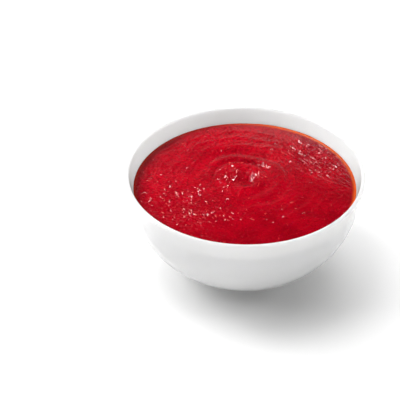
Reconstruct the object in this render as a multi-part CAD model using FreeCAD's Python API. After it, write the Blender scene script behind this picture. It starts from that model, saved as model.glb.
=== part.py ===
import FreeCAD, Part

import math
import os

# A round porcelain bowl filled with tomato sauce, in millimetres.
# +Z is up, and the origin is the centre of the foot ring's underside.

Vector = FreeCAD.Vector

# Bowl: under the lip the wall leans straight in, then one arc turns it in over the foot.
rim_radius = 70.0
height = 65.0
wall = 3.6
lip_thickness = 2.6
wall_lean = math.radians(10.7)    # how far the straight part of the wall leans out
turn_radius = 52.7                # radius of the arc below it
belly_z = 2.7                     # how high the arc's lowest point would lie

# Foot ring under the bowl
foot_radius = 30.0
foot_width = 4.6
recess_depth = 2.4
foot_edge_round = 0.9
foot_root_round = 1.2

# Sauce: how far its still level lies under the lip, and how the ladle left it
sauce_drop = 10.4
swirl_x = -1.0
swirl_y = 8.0
ridge_pitch = 7.5
ridge_height = 0.42
ridge_start = math.radians(338.0)
ridge_reach = 44.0     # distance over which the ridges die away
ridge_birth = 15.0     # the ridges begin at this distance from the swirl's centre
ridge_facing = math.radians(75.0)   # the ridges are deepest on this side of the centre
ridge_faint = 0.1      # share of their height that is left on the other side
crater_x = -2.0        # a low round wall of sauce stands round the mound and the hollow
crater_y = 8.5
crater_radius = 11.5
crater_height = 1.0
crater_width = 3.2
groove_radius = 17.5   # and a shallow groove runs round that, about the swirl's centre
groove_depth = 0.7
groove_width = 2.4
mound_x = -6.5
mound_y = 11.5
mound_height = 2.0
mound_width = 4.4
hollow_x = 2.0
hollow_y = 6.0
hollow_depth = 1.9
hollow_width = 6.0
wall_calm = 9.0        # width of the flat band along the wall
sample_step = 1.7      # spacing of the surface's points

# Derived sizes shared by the bowl and what lies in it. Angles of arcs are under the horizontal.
lip_radius = lip_thickness / 2
lip_z = height - lip_radius
lip_centre_r = rim_radius - lip_radius
turn_centre_z = belly_z + turn_radius
lip_above = lip_z - turn_centre_z
wall_reach = turn_radius - lip_radius + lip_above * math.sin(wall_lean)
turn_centre_r = lip_centre_r - wall_reach / math.cos(wall_lean)
lip_beyond = lip_centre_r - turn_centre_r
inner_turn_radius = turn_radius - wall
inner_reach = (inner_turn_radius + lip_radius) / math.hypot(lip_beyond, lip_above)
inner_lean = math.acos(inner_reach) - math.atan2(lip_above, lip_beyond)
floor_z = belly_z + wall
foot_inner = foot_radius - foot_width
sauce_z = height - sauce_drop
inner_lip_z = lip_z + lip_radius * math.sin(inner_lean)
inner_lip_r = lip_centre_r - lip_radius * math.cos(inner_lean)
sauce_radius = inner_lip_r - (inner_lip_z - sauce_z) * math.tan(inner_lean)


def at(radius, z):
    """A point of the profile, in the XZ plane."""
    return Vector(radius, 0, z)


def on_arc(centre_r, centre_z, radius, below):
    """The point of an arc that lies the angle `below` under the horizontal."""
    return at(centre_r + radius * math.cos(below), centre_z - radius * math.sin(below))


def arc(centre_r, centre_z, radius, start, end):
    """An arc between two angles under the horizontal."""
    points = [on_arc(centre_r, centre_z, radius, start + (end - start) * share) for share in (0, 0.5, 1)]
    return Part.Arc(*points).toShape()


def line(start, end):
    return Part.LineSegment(start, end).toShape()


def inner_edges():
    """The inside of the bowl, from the middle of its floor up to the lip."""
    wall_start = on_arc(turn_centre_r, turn_centre_z, inner_turn_radius, inner_lean)
    return [
        line(at(0, floor_z), at(turn_centre_r, floor_z)),
        arc(turn_centre_r, turn_centre_z, inner_turn_radius, math.pi / 2, inner_lean),
        line(wall_start, at(inner_lip_r, inner_lip_z)),
    ]


def outer_edges():
    """The outside of the bowl, from the inner side of the lip down to the foot and the axis."""
    arc_end_r = max(foot_radius, turn_centre_r)
    arc_end_angle = math.acos((arc_end_r - turn_centre_r) / turn_radius)
    lip_end = on_arc(lip_centre_r, lip_z, lip_radius, wall_lean)
    wall_end = on_arc(turn_centre_r, turn_centre_z, turn_radius, wall_lean)
    foot_top = on_arc(turn_centre_r, turn_centre_z, turn_radius, arc_end_angle)
    edges = [
        arc(lip_centre_r, lip_z, lip_radius, math.pi + inner_lean, 2 * math.pi + wall_lean),
        line(lip_end, wall_end),
        arc(turn_centre_r, turn_centre_z, turn_radius, wall_lean, arc_end_angle),
    ]
    if arc_end_r > foot_radius:
        edges.append(line(foot_top, at(foot_radius, belly_z)))
        foot_top = at(foot_radius, belly_z)
    return edges + [
        line(foot_top, at(foot_radius, 0)),
        line(at(foot_radius, 0), at(foot_inner, 0)),
        line(at(foot_inner, 0), at(foot_inner, recess_depth)),
        line(at(foot_inner, recess_depth), at(0, recess_depth)),
    ]


def turned(edges):
    """The solid that a closed profile sweeps round the axis."""
    profile = Part.Face(Part.Wire(edges))
    return profile.revolve(Vector(0, 0, 0), Vector(0, 0, 1), 360)


def ring_edges(solid, radius, low, high):
    """The circular edges of a given radius between two heights."""
    found = []
    for edge in solid.Edges:
        box = edge.BoundBox
        whole = abs(box.XMax - radius) < 0.01 and abs(box.XMin + radius) < 0.01
        if whole and low - 0.01 <= box.ZMin and box.ZMax <= high + 0.01:
            found.append(edge)
    return found


def make_bowl():
    body = turned(inner_edges() + outer_edges() + [line(at(0, recess_depth), at(0, floor_z))])
    root = ring_edges(body, foot_radius, 0.5, height)
    body = body.makeFillet(foot_root_round, root)
    feet = ring_edges(body, foot_radius, 0, 0) + ring_edges(body, foot_inner, 0, 0)
    return body.makeFillet(foot_edge_round, feet)


def make_cavity():
    """Everything inside the bowl, up to the level of the lip's inner side."""
    edges = inner_edges()
    lip_start = edges[-1].Vertexes[-1].Point
    closing = [line(lip_start, at(0, lip_start.z)), line(at(0, lip_start.z), at(0, floor_z))]
    return turned(edges + closing)


def bump(x, y, centre_x, centre_y, width):
    """A smooth hump of height 1."""
    spread = ((x - centre_x) ** 2 + (y - centre_y) ** 2) / width ** 2
    return math.exp(-spread)


def smooth_step(value, low, high):
    """0 below `low`, 1 above `high`, and smooth between them."""
    share = min(max((value - low) / (high - low), 0), 1)
    return share * share * (3 - 2 * share)


def ring(distance, radius, width):
    """A smooth ring-shaped hump of height 1."""
    return math.exp(-((distance - radius) / width) ** 2)


def swirl_height(x, y):
    """Height of the sauce over its still level: ridges round a crater with a mound and a hollow in it."""
    reach = math.hypot(x - swirl_x, y - swirl_y)
    bearing = math.atan2(y - swirl_y, x - swirl_x)
    phase = 2 * math.pi * reach / ridge_pitch + bearing - ridge_start
    facing = ridge_faint + (1 - ridge_faint) * (0.5 + 0.5 * math.cos(bearing - ridge_facing))
    birth = smooth_step(reach, ridge_birth - 3, ridge_birth + 3)
    ridge = ridge_height * math.cos(phase) * birth * math.exp(-reach / ridge_reach) * facing
    crater = crater_height * ring(math.hypot(x - crater_x, y - crater_y), crater_radius, crater_width)
    groove = groove_depth * ring(reach, groove_radius, groove_width) * facing
    mound = mound_height * bump(x, y, mound_x, mound_y, mound_width)
    hollow = hollow_depth * bump(x, y, hollow_x, hollow_y, hollow_width)
    free = sauce_radius - math.hypot(x, y)
    return (ridge + crater - groove + mound - hollow) * smooth_step(free, wall_calm / 3, wall_calm)


def sauce_top():
    """The swirled surface, on a square that reaches past the wall."""
    count = 2 * math.ceil(rim_radius / sample_step)
    step = 2 * rim_radius / count
    places = [index * step - rim_radius for index in range(count + 1)]
    rows = [[Vector(x, y, sauce_z + swirl_height(x, y)) for y in places] for x in places]
    surface = Part.BSplineSurface()
    surface.interpolate(rows)
    return surface.toShape()


def make_sauce():
    below = sauce_top().extrude(Vector(0, 0, -height))
    return make_cavity().common(below)


os.makedirs("parts", exist_ok=True)
for name, shape in (("bowl", make_bowl()), ("sauce", make_sauce())):
    solids = shape.Solids
    print(name, "solids", len(solids), "valid", shape.isValid(), "volume cm3", round(shape.Volume / 1000, 2))
    solids[0].exportStep("parts/" + name + ".step")
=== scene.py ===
import math
import random

import bpy
import numpy as np
from mathutils import Matrix, Vector, noise


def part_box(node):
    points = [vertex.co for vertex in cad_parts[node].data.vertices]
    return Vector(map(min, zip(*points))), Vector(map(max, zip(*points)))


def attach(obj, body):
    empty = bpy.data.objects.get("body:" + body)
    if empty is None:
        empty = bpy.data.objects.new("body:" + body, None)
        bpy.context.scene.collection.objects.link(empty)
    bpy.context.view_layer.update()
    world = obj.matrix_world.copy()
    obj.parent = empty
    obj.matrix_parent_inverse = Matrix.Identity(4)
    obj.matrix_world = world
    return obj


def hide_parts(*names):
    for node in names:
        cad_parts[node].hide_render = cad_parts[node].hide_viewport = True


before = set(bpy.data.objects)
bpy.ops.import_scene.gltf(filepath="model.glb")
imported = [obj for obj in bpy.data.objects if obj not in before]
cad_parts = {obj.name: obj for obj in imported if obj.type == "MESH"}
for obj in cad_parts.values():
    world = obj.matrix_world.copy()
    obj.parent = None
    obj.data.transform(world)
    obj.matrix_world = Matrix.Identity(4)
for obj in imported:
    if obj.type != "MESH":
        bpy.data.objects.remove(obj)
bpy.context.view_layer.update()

mm = 0.001
bowlLow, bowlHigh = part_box("bowl")
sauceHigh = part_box("sauce")[1]
print("frame loaded, rim across", round((bowlHigh[0] - bowlLow[0]) / mm, 1), "mm")


# meshes

def makePiece(name, verts, faces, materials):
    mesh = bpy.data.meshes.new(name)
    mesh.from_pydata([tuple(v) for v in verts], [], faces)
    mesh.validate()
    mesh.polygons.foreach_set("use_smooth", [True] * len(mesh.polygons))
    for material in materials:
        mesh.materials.append(material)
    piece = bpy.data.objects.new(name, mesh)
    bpy.context.scene.collection.objects.link(piece)
    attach(piece, "root")
    print("made", name, "with", len(mesh.polygons), "faces")
    return piece


def arcPoints(centreR, centreZ, radius, start, end, step):
    # start and end are angles under the horizontal
    count = max(2, math.ceil(abs(end - start) * radius / step))
    angles = [start + (end - start) * i / count for i in range(count + 1)]
    return [(centreR + radius * math.cos(a), centreZ - radius * math.sin(a)) for a in angles]


def roundCorner(before, corner, after, reach, count=6):
    # a small curve that leaves the first run and joins the second, `reach` away from the corner
    start = Vector(corner) + (Vector(before) - Vector(corner)).normalized() * reach
    end = Vector(corner) + (Vector(after) - Vector(corner)).normalized() * reach
    curve = []
    for i in range(count + 1):
        t = i / count
        curve.append(tuple(start * (1 - t) ** 2 + Vector(corner) * 2 * t * (1 - t) + end * t ** 2))
    return curve


def spin(profile, turns):
    # turns a profile of (radius, z) points round the axis; a first or last point on the axis is a pole
    verts, rings = [], []
    for radius, z in profile:
        if radius < 1e-6:
            rings.append([len(verts)] * turns)
            verts.append((0, 0, z))
            continue
        rings.append(range(len(verts), len(verts) + turns))
        for i in range(turns):
            angle = 2 * math.pi * i / turns
            verts.append((radius * math.cos(angle), radius * math.sin(angle), z))
    faces = []
    for low, high in zip(rings, rings[1:]):
        for i in range(turns):
            j = (i + 1) % turns
            corners = [low[i], low[j], high[j], high[i]]
            faces.append(list(dict.fromkeys(corners)))
    return verts, faces


# materials

def nodeMaker(tree):
    def make(kind, **values):
        node = tree.nodes.new(kind)
        for key, value in values.items():
            setattr(node, key, value)
        return node
    return make


def newGroup(name, inputs, outputs):
    group = bpy.data.node_groups.new(name, "ShaderNodeTree")
    for socketName, socketType, default in inputs:
        socket = group.interface.new_socket(socketName, in_out="INPUT", socket_type=socketType)
        if default is not None:
            socket.default_value = default
    for socketName, socketType in outputs:
        group.interface.new_socket(socketName, in_out="OUTPUT", socket_type=socketType)
    make = nodeMaker(group)
    return group, make, make("NodeGroupInput"), make("NodeGroupOutput")


def buildMottle():
    # uneven blotches, from broad clouds to fine grain, as a mask
    group, make, given, out = newGroup(
        "mottle",
        [("Vector", "NodeSocketVector", None), ("Scale", "NodeSocketFloat", 100.0),
         ("Detail", "NodeSocketFloat", 4.0), ("Low", "NodeSocketFloat", 0.35),
         ("High", "NodeSocketFloat", 0.65)],
        [("Mask", "NodeSocketFloat")])
    link = group.links.new
    cloud = make("ShaderNodeTexNoise")
    spread = make("ShaderNodeMapRange", interpolation_type="SMOOTHSTEP")
    link(given.outputs["Vector"], cloud.inputs["Vector"])
    link(given.outputs["Scale"], cloud.inputs["Scale"])
    link(given.outputs["Detail"], cloud.inputs["Detail"])
    link(cloud.outputs["Fac"], spread.inputs["Value"])
    link(given.outputs["Low"], spread.inputs["From Min"])
    link(given.outputs["High"], spread.inputs["From Max"])
    link(spread.outputs["Result"], out.inputs["Mask"])
    return group


def buildBand():
    # a soft step along the distance from the axis, or along the height, with a wandering border
    group, make, given, out = newGroup(
        "band",
        [("Vector", "NodeSocketVector", None), ("Along Height", "NodeSocketFloat", 0.0),
         ("Start", "NodeSocketFloat", 0.0), ("End", "NodeSocketFloat", 0.01),
         ("Wander", "NodeSocketFloat", 0.0005), ("Wander Scale", "NodeSocketFloat", 120.0)],
        [("Mask", "NodeSocketFloat")])
    link = group.links.new
    split = make("ShaderNodeSeparateXYZ")
    flat = make("ShaderNodeCombineXYZ")
    radius = make("ShaderNodeVectorMath", operation="LENGTH")
    pick = make("ShaderNodeMix", data_type="FLOAT")
    drift = make("ShaderNodeTexNoise")
    centred = make("ShaderNodeMath", operation="SUBTRACT")
    shift = make("ShaderNodeMath", operation="MULTIPLY_ADD")
    step = make("ShaderNodeMapRange", interpolation_type="SMOOTHSTEP")
    link(given.outputs["Vector"], split.inputs[0])
    link(split.outputs["X"], flat.inputs["X"])
    link(split.outputs["Y"], flat.inputs["Y"])
    link(flat.outputs[0], radius.inputs[0])
    link(given.outputs["Along Height"], pick.inputs["Factor"])
    link(radius.outputs["Value"], pick.inputs["A"])
    link(split.outputs["Z"], pick.inputs["B"])
    link(given.outputs["Vector"], drift.inputs["Vector"])
    link(given.outputs["Wander Scale"], drift.inputs["Scale"])
    link(drift.outputs["Fac"], centred.inputs[0])
    centred.inputs[1].default_value = 0.5
    link(centred.outputs[0], shift.inputs[0])
    link(given.outputs["Wander"], shift.inputs[1])
    link(pick.outputs["Result"], shift.inputs[2])
    link(shift.outputs[0], step.inputs["Value"])
    link(given.outputs["Start"], step.inputs["From Min"])
    link(given.outputs["End"], step.inputs["From Max"])
    link(step.outputs["Result"], out.inputs["Mask"])
    return group


mottleGroup = buildMottle()
bandGroup = buildBand()


def startMaterial(name, **constants):
    material = bpy.data.materials.new(name)
    material.use_nodes = True
    tree = material.node_tree
    shader = tree.nodes["Principled BSDF"]
    for socket, value in constants.items():
        shader.inputs[socket].default_value = value
    make = nodeMaker(tree)
    place = make("ShaderNodeTexCoord")
    return material, tree, make, place.outputs["Object"], shader


def useGroup(tree, group, vector, **values):
    node = tree.nodes.new("ShaderNodeGroup")
    node.node_tree = group
    tree.links.new(vector, node.inputs["Vector"])
    for socket, value in values.items():
        node.inputs[socket.replace("_", " ")].default_value = value
    return node.outputs["Mask"]


# a Mix node's colour sockets, by number because its sockets for other kinds have the same names
mixInputs = (6, 7)
mixOutput = 2


def mixColour(tree, mask, first, second):
    node = tree.nodes.new("ShaderNodeMix")
    node.data_type = "RGBA"
    tree.links.new(mask, node.inputs["Factor"])
    for number, value in zip(mixInputs, (first, second)):
        if isinstance(value, tuple):
            node.inputs[number].default_value = (*value, 1)
        else:
            tree.links.new(value, node.inputs[number])
    return node.outputs[mixOutput]


def spreadValue(tree, mask, low, high):
    node = tree.nodes.new("ShaderNodeMapRange")
    tree.links.new(mask, node.inputs["Value"])
    node.inputs["To Min"].default_value = low
    node.inputs["To Max"].default_value = high
    return node.outputs["Result"]


def layOver(tree, under, mask, share, colour):
    # a colour over another, as strong as `share` where the mask is 1
    return mixColour(tree, spreadValue(tree, mask, 0.0, share), under, colour)


def sideMask(tree, place, azimuth, start, end, faint):
    # from `faint` on the far side of the axis up to 1 on the side that the azimuth points to
    side = tree.nodes.new("ShaderNodeVectorMath")
    side.operation = "DOT_PRODUCT"
    side.inputs[1].default_value = (math.cos(azimuth), math.sin(azimuth), 0)
    step = tree.nodes.new("ShaderNodeMapRange")
    step.interpolation_type = "SMOOTHSTEP"
    tree.links.new(place, side.inputs[0])
    tree.links.new(side.outputs["Value"], step.inputs["Value"])
    step.inputs["From Min"].default_value = start
    step.inputs["From Max"].default_value = end
    step.inputs["To Min"].default_value = faint
    return step.outputs["Result"]


def multiply(tree, first, second):
    node = tree.nodes.new("ShaderNodeMath")
    node.operation = "MULTIPLY"
    tree.links.new(first, node.inputs[0])
    tree.links.new(second, node.inputs[1])
    return node.outputs[0]


def addBump(tree, height, distance, strength, under=None):
    node = tree.nodes.new("ShaderNodeBump")
    node.inputs["Distance"].default_value = distance
    node.inputs["Strength"].default_value = strength
    tree.links.new(height, node.inputs["Height"])
    if under:
        tree.links.new(under, node.inputs["Normal"])
    return node.outputs["Normal"]


porcelain = {
    "index": 1.52,
    "glaze": (0.91, 0.91, 0.905),
    "glazeShade": (0.89, 0.89, 0.88),
    "bareClay": (0.66, 0.62, 0.56),
    "bareClayGrain": (0.54, 0.50, 0.44),
    "glazeRoughness": (0.07, 0.13),
    "clayRoughness": 0.75,
    "glow": 0.9,                             # how much light goes into the body, and how deep
    "glowDepth": 6.0 * mm,
    "glowReach": (1.0, 1.0, 0.95),
    "wave": (0.25 * mm, 0.25),               # depth and strength of the glaze's unevenness
    "glazeLine": (0.45 * mm, 0.75 * mm),     # heights between which the glaze stops on the foot
}


def makePorcelain():
    p = porcelain
    material, tree, make, place, shader = startMaterial("glazedPorcelain", **{
        "IOR": p["index"], "Subsurface Weight": p["glow"], "Subsurface Scale": p["glowDepth"]})
    shader.inputs["Subsurface Radius"].default_value = p["glowReach"]
    link = tree.links.new
    tone = useGroup(tree, mottleGroup, place, Scale=45.0, Detail=3.0, Low=0.35, High=0.7)
    grain = useGroup(tree, mottleGroup, place, Scale=2600.0, Detail=3.0, Low=0.4, High=0.62)
    lineLow, lineHigh = p["glazeLine"]
    glazed = useGroup(tree, bandGroup, place, Along_Height=1.0, Start=lineLow, End=lineHigh,
                      Wander=0.5 * mm, Wander_Scale=160.0)
    glaze = mixColour(tree, tone, p["glaze"], p["glazeShade"])
    clay = mixColour(tree, grain, p["bareClay"], p["bareClayGrain"])
    link(mixColour(tree, glazed, clay, glaze), shader.inputs["Base Color"])
    glossy = spreadValue(tree, tone, *p["glazeRoughness"])
    rough = make("ShaderNodeMix", data_type="FLOAT")
    link(glazed, rough.inputs["Factor"])
    rough.inputs["A"].default_value = p["clayRoughness"]
    link(glossy, rough.inputs["B"])
    link(rough.outputs["Result"], shader.inputs["Roughness"])
    wave = useGroup(tree, mottleGroup, place, Scale=70.0, Detail=1.0, Low=0.0, High=1.0)
    link(addBump(tree, wave, *p["wave"]), shader.inputs["Normal"])
    return material


puree = {
    "index": 1.38,
    "glow": 0.15,
    "glowDepth": 1.5 * mm,
    "glowReach": (1.0, 0.12, 0.06),
    "deep": (0.33, 0.0001, 0.007),
    "bright": (0.50, 0.0006, 0.011),
    # dark specks, and the painted shade on the left border and towards the front
    "darkSpecksAndPaintedShade": (0.17, 0.0001, 0.004),
    "pulp": (0.86, 0.010, 0.022),
    "cast": (0.10, 0.050, 0.050),          # its colour as bounced light and reflections see it
    "thin": (0.85, 0.12, 0.012),           # where it is a film over white porcelain; strongest on the right, as painted light
    "roughness": (0.12, 0.24),
    "sheen": (0.20, 0.80),                 # on most of it, and on the wetter side
    # how strong each colour is over the one under it
    "grainShare": 0.5, "pitShare": 0.65, "bitShare": 0.7, "paintedShadeShare": 0.6, "paintedFrontShadeShare": 0.35,
    # bands along the wall: where they start and end, counted from it, and how far and often they wander
    "edgeBand": (-2.6 * mm, 0.1 * mm, 1.2 * mm, 90.0),
    "paintedShadeBand": (-10 * mm, -1 * mm, 4 * mm, 60.0),
    # sides: the azimuth, the places along it where the mask starts and ends, and its share before that
    "wetter": (math.radians(40), 18 * mm, 60 * mm, 0.0),
    "paintedFrontShade": (math.radians(-75), 5 * mm, 60 * mm, 0.0),         # painted shade, darker towards the front
    "shaded": (math.radians(195), -10 * mm, 50 * mm, 0.3),       # painted shade on the border, on the side where the wall shades it
    # the same without the azimuth, which comes from the rough side and from the film's smeared side, where
    # the orange edge is painted brighter as painted light
    "pitted": (-30 * mm, 20 * mm, 0.65),
    "smearAndPaintedLight": (5 * mm, 55 * mm, 0.12),
    "foldBump": (0.3 * mm, 0.3),           # depth and strength
    "grainBump": (0.12 * mm, 0.3),
}


def wallBand(tree, place, wallRadius, band):
    start, end, wander, often = band
    return useGroup(tree, bandGroup, place, Start=wallRadius + start, End=wallRadius + end,
                    Wander=wander, Wander_Scale=often)


def makePuree(wallRadius):
    p = puree
    roughSide, calm = sauce["rough"]
    stirredFrom, stirredTo = sauce["roughAcross"]
    material, tree, make, place, shader = startMaterial("tomatoPuree", **{
        "IOR": p["index"], "Subsurface Weight": p["glow"], "Subsurface Scale": p["glowDepth"]})
    shader.inputs["Subsurface Radius"].default_value = p["glowReach"]
    link = tree.links.new
    cloud = useGroup(tree, mottleGroup, place, Scale=85.0, Detail=5.0, Low=0.32, High=0.68)
    grain = useGroup(tree, mottleGroup, place, Scale=900.0, Detail=4.0, Low=0.35, High=0.7)
    pits = useGroup(tree, mottleGroup, place, Scale=640.0, Detail=3.0, Low=0.50, High=0.66)
    bits = useGroup(tree, mottleGroup, place, Scale=1300.0, Detail=2.0, Low=0.61, High=0.72)
    edge = wallBand(tree, place, wallRadius, p["edgeBand"])
    body = mixColour(tree, cloud, p["deep"], p["bright"])
    body = layOver(tree, body, grain, p["grainShare"], p["bright"])
    pits = multiply(tree, pits, sideMask(tree, place, roughSide, *p["pitted"]))
    body = layOver(tree, body, pits, p["pitShare"], p["darkSpecksAndPaintedShade"])
    body = layOver(tree, body, bits, p["bitShare"], p["pulp"])
    # painted shade: the border is darkened on the side where the wall keeps light off it
    border = wallBand(tree, place, wallRadius, p["paintedShadeBand"])
    border = multiply(tree, border, sideMask(tree, place, *p["shaded"]))
    body = layOver(tree, body, border, p["paintedShadeShare"], p["darkSpecksAndPaintedShade"])
    # painted shade: darker towards the front
    body = layOver(tree, body, sideMask(tree, place, *p["paintedFrontShade"]), p["paintedFrontShadeShare"], p["darkSpecksAndPaintedShade"])
    # the orange of the thin edge is its own colour; its strength on the right side is painted light
    smearAndPaintedLight = multiply(tree, edge, sideMask(tree, place, film["facing"], *p["smearAndPaintedLight"]))
    seen = mixColour(tree, smearAndPaintedLight, body, p["thin"])
    path = make("ShaderNodeLightPath")
    bounced = make("ShaderNodeMath", operation="MAXIMUM")
    link(path.outputs["Is Diffuse Ray"], bounced.inputs[0])
    link(path.outputs["Is Glossy Ray"], bounced.inputs[1])
    link(mixColour(tree, bounced.outputs[0], seen, p["cast"]), shader.inputs["Base Color"])
    link(spreadValue(tree, grain, *p["roughness"]), shader.inputs["Roughness"])
    wet = sideMask(tree, place, *p["wetter"])
    link(spreadValue(tree, wet, *p["sheen"]), shader.inputs["Specular IOR Level"])
    stirred = sideMask(tree, place, roughSide, stirredFrom * mm, stirredTo * mm, calm)
    fold = useGroup(tree, mottleGroup, place, Scale=420.0, Detail=3.0, Low=0.30, High=0.62)
    coarse = addBump(tree, multiply(tree, fold, stirred), *p["foldBump"])
    fine = addBump(tree, multiply(tree, grain, stirred), *p["grainBump"], coarse)
    link(fine, shader.inputs["Normal"])
    return material


flesh = {
    "index": 1.4,
    "pale": (0.66, 0.035, 0.035),
    "red": (0.48, 0.003, 0.012),
    "roughness": (0.06, 0.14),
    "bump": (0.02 * mm, 0.3),
}


def makeFlesh():
    f = flesh
    material, tree, _, place, shader = startMaterial("tomatoFlesh", **{"IOR": f["index"]})
    cloud = useGroup(tree, mottleGroup, place, Scale=260.0, Detail=3.0, Low=0.45, High=0.75)
    grain = useGroup(tree, mottleGroup, place, Scale=2400.0, Detail=2.0, Low=0.35, High=0.7)
    tree.links.new(mixColour(tree, cloud, f["red"], f["pale"]), shader.inputs["Base Color"])
    tree.links.new(spreadValue(tree, grain, *f["roughness"]), shader.inputs["Roughness"])
    tree.links.new(addBump(tree, grain, *f["bump"]), shader.inputs["Normal"])
    return material


thin = {
    "index": 1.38,
    "smear": (0.70, 0.045, 0.010),
    "faint": (0.85, 0.25, 0.10),
    "roughness": (0.10, 0.22),
    "bump": (0.04 * mm, 0.3),
}


def makeThin():
    t = thin
    material, tree, _, place, shader = startMaterial("thinSauce", **{"IOR": t["index"]})
    cloud = useGroup(tree, mottleGroup, place, Scale=330.0, Detail=4.0, Low=0.40, High=0.75)
    grain = useGroup(tree, mottleGroup, place, Scale=1800.0, Detail=2.0, Low=0.35, High=0.7)
    tree.links.new(mixColour(tree, cloud, t["smear"], t["faint"]), shader.inputs["Base Color"])
    tree.links.new(spreadValue(tree, grain, *t["roughness"]), shader.inputs["Roughness"])
    tree.links.new(addBump(tree, grain, *t["bump"]), shader.inputs["Normal"])
    return material


# bowl

bowl = {
    "wall": 3.6 * mm,
    "lipThickness": 2.6 * mm,
    "wallLean": math.radians(10.7),     # the straight part under the lip leans out
    "turnRadius": 52.7 * mm,            # the arc below it
    "bellyHeight": 2.7 * mm,
    "footRadius": 30 * mm,
    "footWidth": 4.6 * mm,
    "recessDepth": 2.4 * mm,
    "footRound": 0.9 * mm,
    "rootRound": 2.0 * mm,              # the arc stops this far short of the foot
    "rootReach": 0.6,                   # and this share of it is rounded
    "recessRings": (0.8, 0.5, 0.2, 0),
    "turns": 320,
    "step": 1.6 * mm,
    "lipFiner": 6,                      # the lip's steps are this many times shorter
}


def bowlShape():
    # the wall's line and arc, from the rim's radius and the height that the frame gives
    b = bowl
    lip = b["lipThickness"] / 2
    lipZ, lipR = bowlHigh[2] - lip, bowlHigh[0] - lip
    lean, turn = b["wallLean"], b["turnRadius"]
    turnZ = b["bellyHeight"] + turn
    turnR = lipR - (turn - lip + (lipZ - turnZ) * math.sin(lean)) / math.cos(lean)
    innerTurn = turn - b["wall"]
    apart = math.hypot(lipR - turnR, lipZ - turnZ)
    innerLean = math.acos((innerTurn + lip) / apart) - math.atan2(lipZ - turnZ, lipR - turnR)
    return {
        "lip": lip, "lipZ": lipZ, "lipR": lipR, "turnZ": turnZ, "turnR": turnR,
        "innerTurn": innerTurn, "innerLean": innerLean, "floorZ": b["bellyHeight"] + b["wall"],
    }


def wallAt(s, z):
    # radius of the inside of the wall's straight part at a height
    topR = s["lipR"] - s["lip"] * math.cos(s["innerLean"])
    topZ = s["lipZ"] + s["lip"] * math.sin(s["innerLean"])
    return topR - (topZ - z) * math.tan(s["innerLean"])


def straight(start, end, step):
    # points along a line, without its two ends
    count = max(2, math.ceil((Vector(end) - Vector(start)).length / step))
    return [tuple(Vector(start).lerp(Vector(end), i / count)) for i in range(1, count)]


def innerProfile(s, step, shrink=0.0):
    # from the floor's middle up to where the wall runs straight; `shrink` moves it out into the wall
    points = [(0, s["floorZ"] - shrink)]
    points += arcPoints(s["turnR"], s["turnZ"], s["innerTurn"] + shrink, math.pi / 2, s["innerLean"], step)
    return points


def makeBowl(material):
    b, s = bowl, bowlShape()
    step = b["step"]
    profile = innerProfile(s, step)
    lip = arcPoints(s["lipR"], s["lipZ"], s["lip"],
                    math.pi + s["innerLean"], 2 * math.pi + b["wallLean"], step / b["lipFiner"])
    profile += straight(profile[-1], lip[0], step) + lip
    footAngle = math.acos((b["footRadius"] - s["turnR"]) / b["turnRadius"])
    turn = arcPoints(s["turnR"], s["turnZ"], b["turnRadius"], b["wallLean"], footAngle, step)
    profile += straight(lip[-1], turn[0], step)
    footTop, footInner = turn[-1], b["footRadius"] - b["footWidth"]
    turn = [point for point in turn if point[0] > b["footRadius"] + b["rootRound"]]
    profile += turn
    outer, inner = (b["footRadius"], 0), (footInner, 0)
    recess, middle = (footInner, b["recessDepth"]), (0, b["recessDepth"])
    profile += roundCorner(turn[-1], footTop, outer, b["rootRound"] * b["rootReach"])
    profile += roundCorner(footTop, outer, inner, b["footRound"])
    profile += roundCorner(outer, inner, recess, b["footRound"])
    profile += roundCorner(inner, recess, middle, b["footRound"])
    profile += [(footInner * share, b["recessDepth"]) for share in b["recessRings"]]
    verts, faces = spin(profile, b["turns"])
    piece = makePiece("porcelainBowl", verts, faces, [material])
    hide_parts("bowl")
    return piece


# sauce

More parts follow.
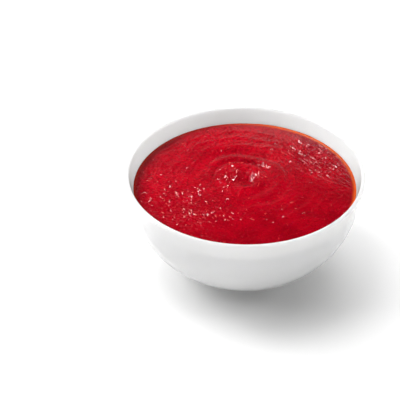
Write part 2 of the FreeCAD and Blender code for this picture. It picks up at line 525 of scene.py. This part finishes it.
sauce = {
    "drop": 10.4 * mm,             # the still level under the lip's top
    "cells": 268,                  # squares along each side of the surface's grid
    "swirl": (-1.0, 8.0),          # places and sizes of the swirl are in millimetres
    "ridgePitch": 7.5,
    "ridgeHeight": 0.45,
    "ridgeStart": math.radians(338),
    "ridgeReach": 44.0,
    "ridgeBirth": 15.0,                 # the ridges begin outside the crater
    "ridgeSoft": 3,                     # and rise to full height this far to either side of that
    "ridgeCrest": (0.35, 0.8),          # height and phase of the second wave that sharpens them
    "ridgeUneven": (0.8, 1.1, 0.07, 0.1, 1.6),     # mean, swing, scale, least and most of their height
    "ridgeFacing": math.radians(75),    # they are deepest on this side of the swirl
    "ridgeFaint": 0.10,
    # scale of the swirl's wandering, and how far it moves the ridges' phase, the crater and the grooves
    "drift": (0.045, 3.4, 1.5, 3),
    "crater": (-2.0, 8.5, 11.5, 1.0, 3.2),    # x, y, radius, height, width of its rim
    "grooves": [(-1.0, 8.0, 17.5, -1.4, 2.2), (0.0, 8.0, 27.0, -1.2, 2.8)],    # the same, round it
    "centreRough": (0.24, 0.55, 13),    # scale, height and reach of the roughness in the middle
    "mound": (-6.5, 11.5, 2.1, 4.4),    # x, y, height, width
    "hollow": (2.0, 6.0, 2.6, 5.6),
    "wallCalm": 9.0,
    "wrinkles": (45.0, 25.0, 28.0, 15.0, 1.0),    # x, y, length, breadth and height of their patch
    "wrinkleFold": (0.11, 0.50, 2.6, 1.5),        # scale along and across them, and how sharp they are
    "wrinkleCalm": (0.5, 4),       # they rise between these distances from the wall
    "pulp": (0.42, 0.55, 1.3),     # height, scale and squeeze of the pulp under the surface
    "streaks": (0.05, 0.10, 0.62),         # height, scale along and across the stirring
    "fineUneven": (0.45, 4, 0.05, -0.25, 0.35),    # least share, shift, scale, low and high
    "fineCalm": (0.3, 3),
    "rough": (math.radians(125), 0.35),     # the side rough with pulp, and the share on the other side
    "roughAcross": (-30, 25),               # between these places along it the roughness grows
    "meniscus": (0.25, 0.8),            # rise at the wall, and how far it reaches
    "intoWall": 0.3 * mm,
    "belowStep": 8 * mm,
    # at which height each use of the noise is cut
    "layers": {"drift": 3.1, "uneven": 9.7, "rough": 6.3, "fold": 5.5, "pulp": 1.7, "fine": 2.2},
}
noiseFall, noiseGrowth = 0.9, 2.1


def discGrid(cells, radius):
    # a square grid bent to a disc, with cells of even area
    line = np.linspace(-1, 1, cells + 1)
    a, b = np.meshgrid(line, line)
    wide = np.abs(a) > np.abs(b)
    safeA = np.where(a == 0, 1, a)
    safeB = np.where(b == 0, 1, b)
    reach = np.where(wide, a, b)
    angle = np.where(wide, math.pi / 4 * b / safeA, math.pi / 2 - math.pi / 4 * a / safeB)
    return (reach * np.cos(angle) * radius).ravel(), (reach * np.sin(angle) * radius).ravel()


def bump(x, y, place):
    centreX, centreY, height, width = place
    return height * np.exp(-((x - centreX) ** 2 + (y - centreY) ** 2) / width ** 2)


def smooth(value, low, high):
    share = np.clip((value - low) / (high - low), 0, 1)
    return share * share * (3 - 2 * share)


def grained(xs, ys, zs, octaves=3):
    points = zip(xs, ys, zs)
    return np.array([noise.fractal(Vector(p), noiseFall, noiseGrowth, octaves) for p in points])


def ringRelief(x, y, place, drift):
    centreX, centreY, radius, height, width = place
    away = np.hypot(x - centreX, y - centreY) - radius + drift
    return height * np.exp(-(away / width) ** 2)


def sauceRelief(x, y):
    # height over the still level, all in millimetres
    s, layers = sauce, sauce["layers"]
    centreX, centreY = s["swirl"]
    reach = np.hypot(x - centreX, y - centreY)
    bearing = np.arctan2(y - centreY, x - centreX)
    toWall = wallAt(bowlShape(), bowlHigh[2] - s["drop"]) / mm - np.hypot(x, y)
    scale, turnDrift, craterDrift, grooveDrift = s["drift"]
    drift = grained(x * scale, y * scale, x * 0 + layers["drift"], 2)
    phase = 2 * math.pi * reach / s["ridgePitch"] + bearing - s["ridgeStart"] + drift * turnDrift
    birth = smooth(reach, s["ridgeBirth"] - s["ridgeSoft"], s["ridgeBirth"] + s["ridgeSoft"])
    facing = s["ridgeFaint"] + (1 - s["ridgeFaint"]) * (0.5 + 0.5 * np.cos(bearing - s["ridgeFacing"]))
    mean, swing, scale, least, most = s["ridgeUneven"]
    patchy = grained(x * scale, y * scale, x * 0 + layers["uneven"], 2)
    uneven = np.clip(mean + swing * patchy, least, most)
    second, shift = s["ridgeCrest"]
    crest = np.cos(phase) + second * np.cos(2 * phase + shift)
    ridge = s["ridgeHeight"] * crest * birth * np.exp(-reach / s["ridgeReach"]) * uneven * facing
    rings = ringRelief(x, y, s["crater"], drift * craterDrift)
    rings += sum(ringRelief(x, y, groove, drift * grooveDrift) for groove in s["grooves"]) * facing
    centre = bump(x, y, s["mound"]) - bump(x, y, s["hollow"])
    scale, height, spread = s["centreRough"]
    rough = grained(x * scale, y * scale, x * 0 + layers["rough"], 3) * height
    rough = rough * np.exp(-(reach / spread) ** 2)
    form = (ridge + rings + centre + rough) * smooth(toWall, s["wallCalm"] / 3, s["wallCalm"])
    # short wrinkles, drawn out along the wall
    patchX, patchY, length, breadth, height = s["wrinkles"]
    along = ((x - patchX) - (y - patchY)) / math.sqrt(2)
    across = ((x - patchX) + (y - patchY)) / math.sqrt(2)
    patch = np.exp(-(along / length) ** 4 - (across / breadth) ** 4)
    scaleAlong, scaleAcross, narrow, sharp = s["wrinkleFold"]
    fold = grained(along * scaleAlong, across * scaleAcross, x * 0 + layers["fold"], 3)
    fold = 1 - np.abs(fold) * narrow
    form += patch * height * np.clip(fold, 0, 1) ** sharp * smooth(toWall, *s["wrinkleCalm"])
    # fine streaks that follow the stirring, then pulp
    streakHeight, scaleAlong, scaleAcross = s["streaks"]
    streak = grained(np.cos(bearing) * reach * scaleAlong, np.sin(bearing) * reach * scaleAlong,
                     reach * scaleAcross, 3)
    height, scale, squeeze = s["pulp"]
    pulp = grained(x * scale, y * scale * squeeze, x * 0 + layers["pulp"], 3)
    least, shift, scale, low, high = s["fineUneven"]
    patchy = grained(x * scale + shift, y * scale, x * 0 + layers["fine"], 2)
    uneven = least + (1 - least) * smooth(patchy, low, high)
    azimuth, calm = s["rough"]
    side = x * math.cos(azimuth) + y * math.sin(azimuth)
    stirred = calm + (1 - calm) * smooth(side, *s["roughAcross"])
    fine = (streakHeight * streak + height * pulp) * uneven * stirred * smooth(toWall, *s["fineCalm"])
    rise, width = s["meniscus"]
    return form + fine + rise * np.exp(-np.clip(toWall, 0, None) / width)


def makeSauce():
    s, shape = sauce, bowlShape()
    level = bowlHigh[2] - s["drop"]
    wallR = sauceHigh[0] + s["intoWall"]
    x, y = discGrid(s["cells"], wallR)
    z = level + sauceRelief(x / mm, y / mm) * mm
    side = s["cells"] + 1
    verts = list(zip(x, y, z))
    faces = []
    for row in range(s["cells"]):
        for col in range(s["cells"]):
            first = row * side + col
            faces.append((first, first + 1, first + side + 1, first + side))
    # the rest of the body follows the inside of the bowl down to its floor
    border = list(range(side))
    border += [row * side + side - 1 for row in range(1, side)]
    border += [(side - 1) * side + col for col in range(side - 2, -1, -1)]
    border += [row * side for row in range(side - 2, 0, -1)]
    below = innerProfile(shape, s["belowStep"], s["intoWall"])
    below = [point for point in below if point[1] < level - 1 * mm]
    above = border
    for radius, height in reversed(below[1:]):
        ring = []
        for i in border:
            share = radius / math.hypot(x[i], y[i])
            ring.append(len(verts))
            verts.append((x[i] * share, y[i] * share, height))
        for k in range(len(border)):
            j = (k + 1) % len(border)
            faces.append((above[j], above[k], ring[k], ring[j]))
        above = ring
    faces.append(tuple(reversed(above)))
    piece = makePiece("tomatoSauce", verts, faces, [makePuree(sauceHigh[0])])
    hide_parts("sauce")
    return piece


bits = {
    "scattered": 150,
    "seed": 11,
    # x, y, spread along x and y, how many, how far they lean in degrees, and how long they are
    "patches": [
        (-40, -13, 24, 16, 74, 27, 1.3),
        (-24, -31, 30, 9, 60, 28, 1.3),
        (-7, 11, 9, 9, 30, 32, 1.2),
        (9, 9, 5, 8, 12, 32, 1.2),
        (44, 20, 15, 16, 24, 36, 2.6),
        (-30, 22, 30, 24, 20, 28, 1.2),
        (10, -30, 40, 20, 14, 30, 1.2),
    ],
    "fromWall": 3,
    "size": (0.50, 1.25),          # half length, in millimetres
    "scatteredSize": 0.8,          # the scattered ones are this many times as long
    "scatteredLean": 0.45,
    "width": (0.5, 0.85),          # shares of the half length
    "thickness": (0.08, 0.13),
    "turnSpread": 0.9,
    "dent": (0.18, 1.3),           # how deep, and how often
    "bold": [(-6.7, 17.9, 2.1), (-1.2, 21.0, 1.1), (-9.9, 7.0, 1.5), (-7.0, 5.6, 1.5), (7.0, 10.3, 1.5)],
    "boldLean": 32,
    "boldStretch": 1.2,
    "leanSpread": math.radians(5),
    "toward": (math.radians(224), math.radians(12)),      # where the patches' scraps lean, and its spread
}


def lumpMesh():
    # a small rounded lump of 12 by 7 faces, radius 1
    profile = arcPoints(0, 0, 1, -math.pi / 2, math.pi / 2, math.pi / 7)
    profile[0], profile[-1] = (0, profile[0][1]), (0, profile[-1][1])
    return spin(profile, 12)


def makeBits(material):
    # soft flat scraps of tomato flesh, half sunk, most of them lying one way as the spoon left them
    b, rng = bits, random.Random(bits["seed"])
    limit = sauceHigh[0] / mm - b["fromWall"]
    places = [(x, y, half, b["boldLean"], b["boldStretch"]) for x, y, half in b["bold"]]
    while len(places) < b["scattered"]:
        x, y = rng.uniform(-limit, limit), rng.uniform(-limit, limit)
        if math.hypot(x, y) < limit:
            places.append((x, y, rng.uniform(*b["size"]) * b["scatteredSize"], None, 1))
    for centreX, centreY, spreadX, spreadY, count, lean, stretch in b["patches"]:
        for _ in range(count):
            x, y = rng.gauss(centreX, spreadX / 2), rng.gauss(centreY, spreadY / 2)
            if math.hypot(x, y) < limit:
                places.append((x, y, rng.uniform(*b["size"]), lean, stretch))
    level = (bowlHigh[2] - sauce["drop"]) / mm
    heights = sauceRelief(np.array([p[0] for p in places]), np.array([p[1] for p in places]))
    lumpVerts, lumpFaces = lumpMesh()
    dentDepth, dentOften = b["dent"]
    verts, faces = [], []
    for (x, y, half, leaning, stretch), height in zip(places, heights):
        if leaning:
            lean, toward = rng.gauss(math.radians(leaning), b["leanSpread"]), rng.gauss(*b["toward"])
        else:
            lean, toward = rng.uniform(0, b["scatteredLean"]), rng.uniform(0, 2 * math.pi)
        downhill = Matrix.Rotation(toward, 3, "Z") @ Matrix.Rotation(lean, 3, "Y")
        across = math.pi / 2 + rng.gauss(0, b["turnSpread"] / stretch)     # long ones lie across the slope
        turn = downhill @ Matrix.Rotation(across, 3, "Z")
        wide = half * rng.uniform(*b["width"]) / stretch
        thick = half * rng.uniform(*b["thickness"])
        half *= stretch
        first = len(verts)
        for vx, vy, vz in lumpVerts:
            spot = Vector((vx * dentOften + x, vy * dentOften + y, vz * dentOften))
            dent = 1 + dentDepth * noise.noise(spot)
            point = turn @ Vector((vx * half * dent, vy * wide * dent, vz * thick))
            verts.append(((x + point.x) * mm, (y + point.y) * mm, (level + height + point.z) * mm))
        faces += [[first + i for i in face] for face in lumpFaces]
    return makePiece("pulpBits", verts, faces, [material])


film = {
    "height": (0.05, 0.6),         # millimetres above the sauce, on the clean side and on the smeared side
    "facing": math.radians(22),    # the smeared side, where the orange edge is also painted brighter as painted light
    "blend": (0.1, 0.8),           # how the smeared side fades into the clean one
    "wander": (4, 0.4, 0.35),      # how often its top wanders, where the noise is cut, and how far
    "below": 0.5,                  # it starts this far under the sauce's level
    "thick": 0.12,
    "taper": 0.7,
    "clear": 0.03,                 # it stands this far off the wall
    "tuck": -0.15,                 # and its top row runs into it
    "turns": 240,
    "rows": 6,
}


def makeFilm(material):
    # a thin smear that the sauce leaves on the wall above its edge
    f, shape = film, bowlShape()
    level = (bowlHigh[2] - sauce["drop"]) / mm
    clean, full = f["height"]
    often, layer, far = f["wander"]
    verts, faces = [], []
    for i in range(f["turns"]):
        angle = 2 * math.pi * i / f["turns"]
        side = smooth(np.array(math.cos(angle - f["facing"])), *f["blend"])
        spot = Vector((math.cos(angle) * often, math.sin(angle) * often, layer))
        wander = noise.fractal(spot, noiseFall, noiseGrowth, 3)
        top = clean + (full - clean) * float(side)
        top *= 1 + far * wander
        for row in range(f["rows"] + 1):
            share = row / f["rows"]
            z = level - f["below"] + (top + f["below"]) * share
            radius = wallAt(shape, z * mm) / mm
            off = f["clear"] if row < f["rows"] else f["tuck"]
            radius -= f["thick"] * (1 - share) ** f["taper"] + off
            verts.append((radius * math.cos(angle) * mm, radius * math.sin(angle) * mm, z * mm))
    side = f["rows"] + 1
    for i in range(f["turns"]):
        j = (i + 1) % f["turns"]
        for row in range(f["rows"]):
            faces.append((j * side + row, i * side + row, i * side + row + 1, j * side + row + 1))
    return makePiece("sauceFilm", verts, faces, [material])


pieces = [makeBowl(makePorcelain()), makeSauce()]
pieces += [makeBits(makeFlesh()), makeFilm(makeThin())]


# stage

light = {
    # azimuth and elevation in degrees, distance and size in metres, power in watts, and whether the
    # lamp lights the bowl or the floor round it
    "key": (157, 52, 0.42, 0.075, 0.65, "bowl"),
    "glint": (157, 52, 0.42, 0.115, 2.5, "bowl"),
    "top": (170, 75, 0.5, 0.3, 0.34, "bowl"),
    "left": (180, 50, 1.1, 0.8, 1.45, "bowl"),
    "backLeft": (150, 42, 1.1, 0.6, 4.05, "bowl"),
    "right": (10, 26, 1.1, 0.8, 4.7, "bowl"),
    "backRight": (30, 45, 0.5, 0.3, 0.42, "bowl"),
    "frontLeft": (-135, 18, 1.1, 0.6, 3.75, "bowl"),
    "frontRight": (-45, 18, 1.1, 0.6, 2.4, "bowl"),
    "front": (-90, 16, 1.1, 0.7, 0.95, "bowl"),
    "card": (78, 12, 0.28, 0.28, 0.045, "bowl"),
    "ripple": (108, 54, 0.42, 0.08, 0.05, "bowl"),
    "floorTop": (0, 88, 0.9, 0.7, 2.14, "floor"),
    "floorOver": (170, 75, 0.5, 0.3, 1.23, "floor"),
    "floorLeft": (180, 36, 1.1, 0.8, 8.85, "floor"),
    "floorNear": (150, 35, 0.6, 0.4, 2.27, "floor"),
    "floorRight": (0, 22, 1.1, 0.7, 5.99, "floor"),
    "floorBack": (60, 35, 1.1, 0.7, 3.59, "floor"),
    "floorBehind": (90, 40, 0.5, 0.35, 1.36, "floor"),
}
backdrop = {
    "seen": 1.0,                # the world's strength as the camera sees it
    "ambient": 0.08,            # as light on the scene
    "horizon": 0.03,            # and in reflections, from the horizon to overhead
    "overhead": 0.01,
    "dimming": (0.30, 0.60),    # heights between which the one turns into the other
    "floorSeen": 0.80,
    "floor": 0.41,
    "floorHalf": 3.0,
}
mirrored = ("glint", "card", "ripple")      # the lamps that show as highlights, and light nothing else


def addSoftbox(name, azimuth, elevation, distance, size, power, onto):
    lamp = bpy.data.lights.new(name, "AREA")
    lamp.shape = "DISK"
    lamp.size = size
    lamp.energy = power
    aim = Vector((0, 0, bowlHigh[2] / 2))
    up, turned = math.radians(elevation), math.radians(azimuth)
    away = Vector((math.cos(up) * math.cos(turned), math.cos(up) * math.sin(turned), math.sin(up)))
    box = bpy.data.objects.new(name, lamp)
    box.location = aim + away * distance
    box.rotation_euler = away.to_track_quat("Z", "Y").to_euler()
    box.visible_glossy = name in mirrored
    box.visible_diffuse = name not in mirrored
    box.light_linking.receiver_collection = litBy[onto]
    bpy.context.scene.collection.objects.link(box)


def seenDirectly(tree):
    # 1 for what the camera sees itself, in a reflection or through something clear
    path = tree.nodes.new("ShaderNodeLightPath")
    total = path.outputs["Is Camera Ray"]
    for name in ("Is Glossy Ray", "Is Transmission Ray"):
        add = tree.nodes.new("ShaderNodeMath")
        add.operation = "MAXIMUM"
        tree.links.new(total, add.inputs[0])
        tree.links.new(path.outputs[name], add.inputs[1])
        total = add.outputs[0]
    return total


def makeFloor():
    material = bpy.data.materials.new("paleFloor")
    material.use_nodes = True
    tree = material.node_tree
    tree.nodes.clear()
    make = nodeMaker(tree)
    out = make("ShaderNodeOutputMaterial")
    matt = make("ShaderNodeBsdfDiffuse")
    tree.links.new(matt.outputs[0], out.inputs[0])
    plain = (backdrop["floor"],) * 3
    white = (backdrop["floorSeen"],) * 3
    tree.links.new(mixColour(tree, seenDirectly(tree), plain, white), matt.inputs["Color"])
    half = backdrop["floorHalf"]
    corners = [(-half, -half, 0), (half, -half, 0), (half, half, 0), (-half, half, 0)]
    mesh = bpy.data.meshes.new("floor")
    mesh.from_pydata(corners, [], [(0, 1, 2, 3)])
    mesh.materials.append(material)
    floor = bpy.data.objects.new("floor", mesh)
    bpy.context.scene.collection.objects.link(floor)
    return floor


def makeWorld():
    # only the camera sees it white: bright surroundings in the sauce's gloss would turn it milky
    world = bpy.data.worlds.new("studio")
    bpy.context.scene.world = world
    world.use_nodes = True
    tree = world.node_tree
    make = nodeMaker(tree)
    background = tree.nodes["Background"]
    place = make("ShaderNodeTexCoord")
    split = make("ShaderNodeSeparateXYZ")
    dim = make("ShaderNodeMapRange", interpolation_type="SMOOTHSTEP")
    path = make("ShaderNodeLightPath")
    tree.links.new(place.outputs["Generated"], split.inputs[0])
    tree.links.new(split.outputs["Z"], dim.inputs["Value"])
    dim.inputs["From Min"].default_value = backdrop["dimming"][0]
    dim.inputs["From Max"].default_value = backdrop["dimming"][1]
    dim.inputs["To Min"].default_value = backdrop["horizon"]
    dim.inputs["To Max"].default_value = backdrop["overhead"]
    direct = make("ShaderNodeMix", data_type="FLOAT")
    tree.links.new(path.outputs["Is Camera Ray"], direct.inputs["Factor"])
    tree.links.new(dim.outputs["Result"], direct.inputs["A"])
    direct.inputs["B"].default_value = backdrop["seen"]
    strength = make("ShaderNodeMix", data_type="FLOAT")
    tree.links.new(seenDirectly(tree), strength.inputs["Factor"])
    strength.inputs["A"].default_value = backdrop["ambient"]
    tree.links.new(direct.outputs["Result"], strength.inputs["B"])
    tree.links.new(strength.outputs["Result"], background.inputs["Strength"])
    background.inputs["Color"].default_value = (1, 1, 1, 1)


camera = {"place": (-0.0262, -0.6307, 0.5173), "down": 36.88, "roll": -0.38, "lens": 120, "sensor": 36}


def addCamera():
    lens = bpy.data.cameras.new("camera")
    lens.lens = camera["lens"]
    lens.sensor_width = camera["sensor"]
    eye = bpy.data.objects.new("camera", lens)
    turn = Matrix.Rotation(math.radians(90 - camera["down"]), 4, "X")
    roll = Matrix.Rotation(math.radians(camera["roll"]), 4, "Z")
    eye.matrix_world = Matrix.Translation(camera["place"]) @ turn @ roll
    bpy.context.scene.collection.objects.link(eye)
    bpy.context.scene.camera = eye


litBy = {"bowl": pieces, "floor": [makeFloor()]}
for name, members in litBy.items():
    litBy[name] = bpy.data.collections.new(name + "Lit")
    for member in members:
        litBy[name].objects.link(member)
for name, setting in light.items():
    addSoftbox(name, *setting)
makeWorld()
addCamera()
bpy.context.scene.view_settings.view_transform = "Standard"
print("stage set")
